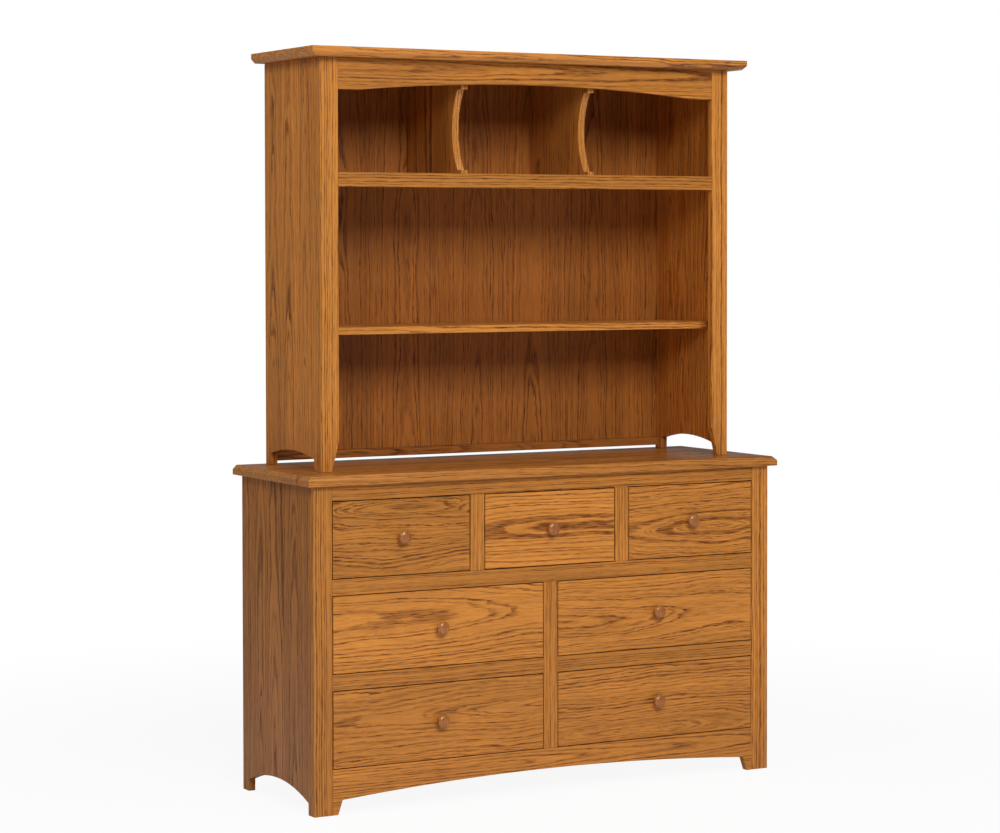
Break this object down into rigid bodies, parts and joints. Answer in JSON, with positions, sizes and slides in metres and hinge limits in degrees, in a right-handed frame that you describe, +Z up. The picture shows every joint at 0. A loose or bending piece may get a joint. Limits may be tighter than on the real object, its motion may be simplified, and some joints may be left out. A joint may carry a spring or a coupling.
{
  "type": "dresser with hutch",
  "caption": "Wooden dresser with inset drawers in rows under an open bookcase hutch with an arched rail, scooped dividers, a fixed shelf and an adjustable shelf.",
  "frame": {"origin": "on the floor, under the middle of the overall box", "axes": "+Z up, -Y towards the viewer of the drawer fronts, +X to that viewer's right"},
  "size_m": [1.4132, 0.4774, 1.9376],
  "materials": {
    "oak_face": "golden brown stain under satin varnish, front faces",
    "oak_side": "golden brown stain under satin varnish, glued-up side panels",
    "oak_top": "golden brown stain under satin varnish, top boards",
    "oak_inside": "golden brown stain under satin varnish, shelves, dividers and oak plywood backs",
    "oak_knob": "turned and varnished to a semi-gloss",
    "drawer_wood": "clear-coated pale hardwood and plywood inside the case"
  },
  "bodies": {
    "case": {"case_left_side": "oak_side", "case_right_side": "oak_side", "case_back": "oak_inside", "dresser_top": "oak_top", "frame_left_stile": "oak_face", "frame_right_stile": "oak_face", "frame_top_rail": "oak_face", "frame_upper_rail": "oak_face", "frame_bottom_rail": "oak_face", "frame_left_mullion": "oak_face", "frame_right_mullion": "oak_face", "frame_centre_mullion": "oak_face", "frame_left_middle_rail": "oak_face", "frame_right_middle_rail": "oak_face", "web_frame_bottom": "drawer_wood", "web_frame_lower": "drawer_wood", "web_frame_upper": "drawer_wood", "web_frame_top": "drawer_wood", "hutch_left_side": "oak_side", "hutch_right_side": "oak_side", "hutch_left_stile": "oak_face", "hutch_right_stile": "oak_face", "hutch_arched_rail": "oak_face", "hutch_shelf_rail": "oak_face", "hutch_fixed_shelf": "oak_inside", "hutch_left_divider": "oak_inside", "hutch_right_divider": "oak_inside", "hutch_back": "oak_inside", "hutch_back_rail": "oak_inside", "hutch_top": "oak_top"},
    "upper_left_drawer": {"upper_left_drawer_front": "oak_face", "upper_left_drawer_knob": "oak_knob", "upper_left_drawer_box": "drawer_wood", "upper_left_drawer_bottom": "drawer_wood"},
    "upper_middle_drawer": {"upper_middle_drawer_front": "oak_face", "upper_middle_drawer_knob": "oak_knob", "upper_middle_drawer_box": "drawer_wood", "upper_middle_drawer_bottom": "drawer_wood"},
    "upper_right_drawer": {"upper_right_drawer_front": "oak_face", "upper_right_drawer_knob": "oak_knob", "upper_right_drawer_box": "drawer_wood", "upper_right_drawer_bottom": "drawer_wood"},
    "middle_left_drawer": {"middle_left_drawer_front": "oak_face", "middle_left_drawer_knob": "oak_knob", "middle_left_drawer_box": "drawer_wood", "middle_left_drawer_bottom": "drawer_wood"},
    "middle_right_drawer": {"middle_right_drawer_front": "oak_face", "middle_right_drawer_knob": "oak_knob", "middle_right_drawer_box": "drawer_wood", "middle_right_drawer_bottom": "drawer_wood"},
    "lower_left_drawer": {"lower_left_drawer_front": "oak_face", "lower_left_drawer_knob": "oak_knob", "lower_left_drawer_box": "drawer_wood", "lower_left_drawer_bottom": "drawer_wood"},
    "lower_right_drawer": {"lower_right_drawer_front": "oak_face", "lower_right_drawer_knob": "oak_knob", "lower_right_drawer_box": "drawer_wood", "lower_right_drawer_bottom": "drawer_wood"},
    "adjustable_shelf": {"hutch_adjustable_shelf": "oak_inside"}
  },
  "joints": [
    {"name": "upper_left_drawer_slide", "type": "slide", "parent": "case", "child": "upper_left_drawer", "axis": [0, -1, 0], "range_m": [0, 0.3]},
    {"name": "upper_middle_drawer_slide", "type": "slide", "parent": "case", "child": "upper_middle_drawer", "axis": [0, -1, 0], "range_m": [0, 0.3]},
    {"name": "upper_right_drawer_slide", "type": "slide", "parent": "case", "child": "upper_right_drawer", "axis": [0, -1, 0], "range_m": [0, 0.3]},
    {"name": "middle_left_drawer_slide", "type": "slide", "parent": "case", "child": "middle_left_drawer", "axis": [0, -1, 0], "range_m": [0, 0.3]},
    {"name": "middle_right_drawer_slide", "type": "slide", "parent": "case", "child": "middle_right_drawer", "axis": [0, -1, 0], "range_m": [0, 0.3]},
    {"name": "lower_left_drawer_slide", "type": "slide", "parent": "case", "child": "lower_left_drawer", "axis": [0, -1, 0], "range_m": [0, 0.3]},
    {"name": "lower_right_drawer_slide", "type": "slide", "parent": "case", "child": "lower_right_drawer", "axis": [0, -1, 0], "range_m": [0, 0.3]},
    {"name": "shelf_lift", "type": "slide", "parent": "case", "child": "adjustable_shelf", "axis": [0, 0, 1], "range_m": [0, 0.1455]}
  ]
}
